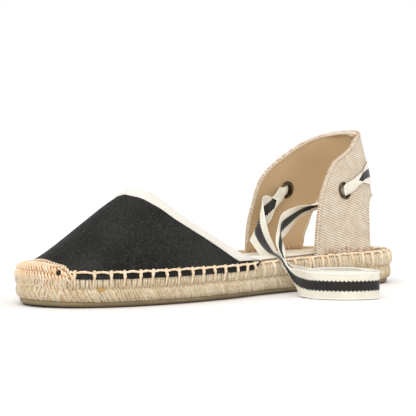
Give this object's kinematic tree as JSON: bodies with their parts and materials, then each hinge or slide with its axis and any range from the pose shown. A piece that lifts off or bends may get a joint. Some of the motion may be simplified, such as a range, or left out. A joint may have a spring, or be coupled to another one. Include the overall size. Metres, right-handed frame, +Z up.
{
  "type": "espadrille",
  "caption": "Flat right espadrille: jute rope sole, black canvas vamp, woven heel strap with eyelets and a long striped ribbon tie wound into a hank beside it.",
  "frame": {"origin": "on the floor, under the middle of the shoe's box, the ribbon left out", "axes": "+X from toe to heel, +Y towards the outer (lateral) side, +Z up"},
  "size_m": [0.2519, 0.1322, 0.0882],
  "materials": {
    "outsole": "matte",
    "jute_sole": "braided jute",
    "insole": "woven cloth",
    "vamp": "canvas",
    "throat_binding": "ribbed tape",
    "toe_cap": "twisted cotton thread",
    "heel_counter": "coarse weave",
    "eyelets": "antique",
    "ribbon": "striped grosgrain"
  },
  "bodies": {
    "root": {"outsole": "outsole", "jute_sole": "jute_sole", "insole": "insole", "vamp": "vamp", "throat_binding": "throat_binding", "toe_cap": "toe_cap", "heel_counter": "heel_counter", "eyelet_medial": "eyelets", "eyelet_lateral": "eyelets", "tie_back": "ribbon", "tie_lateral": "ribbon", "tie_medial": "ribbon", "tie_hank": "ribbon"}
  },
  "joints": []
}
